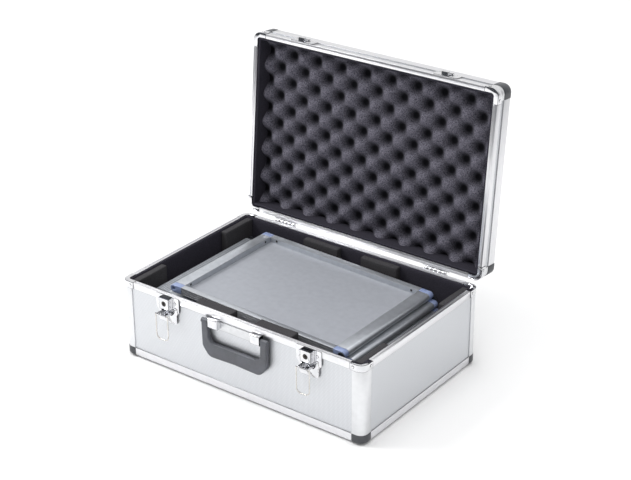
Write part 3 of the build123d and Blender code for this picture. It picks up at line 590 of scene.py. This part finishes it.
def foamBlocks(name, boxes, body, slot, node, rounding):
    shape = bmesh.new()
    for low, high in boxes:
        inset = Vector((foamCut["waver"],) * 3)
        low, high = low + inset, high - inset
        cube = bmesh.ops.create_cube(shape, size=1)
        for vert in cube["verts"]:
            vert.co = Vector([low[i] + (vert.co[i] + 0.5) * (high[i] - low[i]) for i in range(3)])
        edges = list({edge for vert in cube["verts"] for edge in vert.link_edges})
        bmesh.ops.bevel(
            shape, geom=edges, offset=rounding, segments=3, profile=0.5, affect="EDGES", clamp_overlap=True
        )
    for axis in range(3):
        start = min(low[axis] for low, high in boxes)
        span = max(high[axis] for low, high in boxes) - start
        cuts = int(span / foamCut["step"])
        normal = Vector([1.0 if i == axis else 0.0 for i in range(3)])
        for cut in range(1, cuts):
            bmesh.ops.bisect_plane(
                shape, geom=shape.verts[:] + shape.edges[:] + shape.faces[:],
                plane_co=normal * (start + span * cut / cuts), plane_no=normal,
            )
    for vert in shape.verts:
        vert.co += waveredPoint(vert.co, foamCut["waver"])
    bmesh.ops.recalc_face_normals(shape, faces=shape.faces)
    mesh = bpy.data.meshes.new(name)
    shape.to_mesh(mesh)
    shape.free()
    piece = newPiece(name, mesh, finishOf[slot])
    softShade(mesh, 50)
    fit(piece, body, slot, node)


def ringPoints(halfX, halfY, radius, step):
    # a rounded rectangle's outline, with its points in order
    points = []
    for cornerX, cornerY, start in ((1, 1, 0), (-1, 1, 90), (-1, -1, 180), (1, -1, 270)):
        for number in range(liningCut["cornerCuts"] + 1):
            angle = math.radians(start + 90 / liningCut["cornerCuts"] * number)
            points.append(Vector((
                cornerX * (halfX - radius) + radius * math.cos(angle),
                cornerY * (halfY - radius) + radius * math.sin(angle),
            )))
    filled = []
    for here, there in zip(points, points[1:] + points[:1]):
        cuts = max(1, round((there - here).length / step))
        filled += [here.lerp(there, cut / cuts) for cut in range(cuts)]
    return filled


def foamBand(name, place, low, high, wall, body, node, lipAtHigh):
    # a strip of lining foam bent round the inside of the shell, its free lip slightly rounded
    half = (high - low) / 2
    middle = (high + low) / 2
    lip = wall * liningCut["lip"]
    corner = lip * liningCut["lipCorner"]
    length = high.z - low.z
    steps = liningCut["steps"]
    heights = [min(length * number / steps, length - lip) for number in range(steps + 1)]
    profile = [(0.0, height) for height in heights]
    profile += [(corner, length - corner), (lip, length)]
    profile += [(wall - lip, length), (wall - corner, length - corner)]
    profile += [(wall, height) for height in reversed(heights)]
    shape = bmesh.new()
    rings = []
    for inset, height in profile:
        radius = max(liningCut["outerRadius"] - inset, liningCut["leastRadius"])
        outline = ringPoints(half.x - inset, half.y - inset, radius, liningCut["step"])
        z = low.z + height if lipAtHigh else high.z - height
        rings.append([shape.verts.new((p.x + middle.x, p.y + middle.y, z)) for p in outline])
    for first, second in zip(rings, rings[1:] + rings[:1]):
        for number in range(len(first)):
            following = (number + 1) % len(first)
            shape.faces.new((first[number], first[following], second[following], second[number]))
    for vert in shape.verts:
        vert.co.z += waveredPoint(vert.co, liningCut["waver"]).z
    bmesh.ops.recalc_face_normals(shape, faces=shape.faces)
    mesh = bpy.data.meshes.new(name)
    shape.to_mesh(mesh)
    shape.free()
    mesh.transform(place)
    piece = newPiece(name, mesh, liningFoam)
    softShade(mesh, 50)
    fit(piece, body, "lining_foam", node)


print("foam blocks and linings")
for node, name in (
    ("corner_foam_blocks", "cornerFoamBlocks"),
    ("front_foam_blocks", "frontFoamBlocks"),
    ("back_foam_blocks", "backFoamBlocks"),
):
    foamBlocks(name, islands(node), "case", "block_foam", node, foamCut["round"])
foamBlocks("floorFoamSheet", islands("floor_foam"), "case", "lining_foam", "floor_foam", foamCut["round"])

linerLow, linerHigh = islands("wall_foam")[0]
foamBand(
    "wallLining", Matrix.Identity(4), linerLow, linerHigh, liningWall["base"], "case", "wall_foam",
    lipAtHigh=True,
)
stripLow, stripHigh = islands("lid_side_foam", lidPlace)[0]
foamBand(
    "lidLining", lidPlace, stripLow, stripHigh, liningWall["lid"], "lid", "lid_side_foam",
    lipAtHigh=False,
)

# rivets and screws
rivetShape = {
    "radius": 2.4 * mm,
    "rise": 0.75 * mm,
    "turns": 20,
    "rings": 10,
    "paintedShadeFoot": 0.66,       # share of the dome's height that takes the darker edge tone, painted shade round each head's foot
}
screwShape = {"radius": 2 * mm, "rise": 0.8 * mm}


def rivetTree():
    # a domed head on each point, turned to the point's own direction
    tree = bpy.data.node_groups.new("rivetHeads", "GeometryNodeTree")
    interface = tree.interface
    for name, kind in (
        ("Points", "NodeSocketGeometry"), ("Radius", "NodeSocketFloat"), ("Rise", "NodeSocketFloat"),
        ("Turns", "NodeSocketInt"), ("Rings", "NodeSocketInt"), ("Plating", "NodeSocketMaterial"),
    ):
        interface.new_socket(name, in_out="INPUT", socket_type=kind)
    interface.new_socket("Geometry", in_out="OUTPUT", socket_type="NodeSocketGeometry")
    given = addNode(tree, "NodeGroupInput").outputs
    ball = addNode(
        tree, "GeometryNodeMeshUVSphere", {"Radius": 1.0},
        {"Segments": given["Turns"], "Rings": given["Rings"]},
    )
    level = addNode(
        tree, "ShaderNodeSeparateXYZ", None, {0: addNode(tree, "GeometryNodeInputPosition").outputs[0]}
    ).outputs["Z"]
    # the lower part of each head is marked for painted shade where it meets the plate
    foot = addNode(tree, "FunctionNodeCompare", {"operation": "LESS_THAN"}, {"A": level})
    foot.inputs["B"].default_value = rivetShape["paintedShadeFoot"]
    ringed = addNode(
        tree, "GeometryNodeStoreNamedAttribute",
        {"data_type": "FLOAT", "domain": "FACE", "Name": "paintedEdgeShade"},
        {"Geometry": ball.outputs["Mesh"], "Value": foot.outputs[0]},
    )
    scale = addNode(
        tree, "ShaderNodeCombineXYZ", None, {"X": given["Radius"], "Y": given["Radius"], "Z": given["Rise"]}
    )
    head = addNode(
        tree, "GeometryNodeTransform", None, {"Geometry": ringed.outputs[0], "Scale": scale.outputs[0]}
    )
    facing = addNode(tree, "GeometryNodeInputNamedAttribute", {"data_type": "FLOAT_VECTOR", "Name": "facing"})
    turn = addNode(
        tree, "FunctionNodeAlignRotationToVector", {"axis": "Z"}, {"Vector": facing.outputs["Attribute"]}
    )
    spread = addNode(
        tree, "GeometryNodeInstanceOnPoints", None,
        {"Points": given["Points"], "Instance": head.outputs[0], "Rotation": turn.outputs[0]},
    )
    real = addNode(tree, "GeometryNodeRealizeInstances", None, {"Geometry": spread.outputs[0]})
    smooth = addNode(tree, "GeometryNodeSetShadeSmooth", None, {"Geometry": real.outputs[0]})
    coated = addNode(
        tree, "GeometryNodeSetMaterial", None, {"Geometry": smooth.outputs[0], "Material": given["Plating"]}
    )
    addNode(tree, "NodeGroupOutput", None, {"Geometry": coated.outputs[0]})
    return tree


rivetMaker = rivetTree()


def rivetHeads(name, places, body, slot, nodes=(), radius=None, rise=None, material=None):
    points = bpy.data.meshes.new(name)
    points.from_pydata([point for point, facing in places], [], [])
    directions = points.attributes.new("facing", "FLOAT_VECTOR", "POINT")
    directions.data.foreach_set("vector", [c for point, facing in places for c in facing])
    piece = runTree(name, rivetMaker, {
        "Radius": radius or rivetShape["radius"],
        "Rise": rise or rivetShape["rise"],
        "Turns": rivetShape["turns"],
        "Rings": rivetShape["rings"],
        "Plating": material or chromePlate,
    }, points)
    return fit(piece, body, slot, *nodes)


def placesOf(node, place=Matrix.Identity(4), facing=None, inward=False):
    # where each small head of a node sits and which way it faces
    solids = islands(node, place)
    allLow = Vector([min(low[i] for low, high in solids) for i in range(3)])
    allHigh = Vector([max(high[i] for low, high in solids) for i in range(3)])
    centre = (allLow + allHigh) / 2
    places = []
    for low, high in solids:
        size = high - low
        thin = min(range(3), key=lambda i: size[i])
        middle = (low + high) / 2
        direction = Vector((0, 0, 0))
        direction[thin] = 1.0 if middle[thin] > centre[thin] else -1.0
        if inward:
            direction = -direction
        if facing:
            direction = Vector(facing)
        seat = middle - direction * size[thin] / 2
        turned = place.to_3x3() @ direction
        places.append((place @ seat, turned))
    return places


print("rivets and screws")
rivetHeads("baseRimRivets", placesOf("base_rim_rivets"), "case", "chrome_fittings", ["base_rim_rivets"])
rivetHeads("lidRimRivets", placesOf("lid_rim_rivets", lidPlace), "lid", "chrome_fittings", ["lid_rim_rivets"])
rivetHeads(
    "latchRivets", placesOf("latch_rivets", facing=(0, -1, 0)), "case", "chrome_fittings", ["latch_rivets"]
)
trayLean = 1.78               # degrees by which the folded upper tray leans at rest
trayTurn = Matrix.Rotation(math.radians(trayLean), 4, "Y")
trayPlace = Matrix.Translation(jointOf["top_tray_fold"]["pos_m"]) @ trayTurn
rivetHeads(
    "trayScrews", placesOf("top_tray_screws", trayPlace, inward=True), "top_tray", "chrome_fittings",
    ["top_tray_screws"], radius=screwShape["radius"], rise=screwShape["rise"], material=lockMetal,
)

# floor and surroundings
floorSize = 14.0
surroundings = {
    "strength": 0.95,
    "brightSide": (-0.6, 0.8, 0.0),
    "brightAbove": (1.5, -0.55),  # slope and offset of the bright part overhead
    "dark": "#4d4f54",
    "pale": "#ffffff",
    "turnsPale": 0.4,
}


def placeFloor():
    mesh = bpy.data.meshes.new("floor")
    half = floorSize / 2
    corners = [(-half, -half, 0), (half, -half, 0), (half, half, 0), (-half, half, 0)]
    mesh.from_pydata(corners, [], [(0, 1, 2, 3)])
    material, tree, shader = startMaterial(
        "paleSeamlessPaper", Base_Color=fromHex("#fafafa"), Roughness=0.9, Specular_IOR_Level=0.1
    )
    newPiece("floor", mesh, material)


def placeWorld():
    # white backdrop behind and soft box above, with a darker room on the camera's side, so that
    # plated edges have something dark to show
    world = bpy.data.worlds.new("studio")
    world.use_nodes = True
    tree = world.node_tree
    background = tree.nodes["Background"]
    background.inputs["Strength"].default_value = surroundings["strength"]
    coords = addNode(tree, "ShaderNodeTexCoord").outputs["Generated"]
    towards = addNode(tree, "ShaderNodeVectorMath", {"operation": "DOT_PRODUCT"}, {0: coords})
    towards.inputs[1].default_value = surroundings["brightSide"]
    height = addNode(tree, "ShaderNodeSeparateXYZ", None, {0: coords}).outputs["Z"]
    raised = addNode(tree, "ShaderNodeMath", {"operation": "MULTIPLY_ADD"}, {0: height})
    raised.inputs[1].default_value, raised.inputs[2].default_value = surroundings["brightAbove"]
    lit = addNode(
        tree, "ShaderNodeMath", {"operation": "MAXIMUM"}, {0: towards.outputs["Value"], 1: raised.outputs[0]}
    ).outputs[0]
    color = blendColors(
        tree, lit, surroundings["dark"], surroundings["pale"], 0.0, surroundings["turnsPale"]
    )
    tree.links.new(color, background.inputs["Color"])
    bpy.context.scene.world = world


print("studio")
placeCamera()
placeLights()
placeFloor()
placeWorld()
bpy.context.scene.view_settings.view_transform = "Standard"
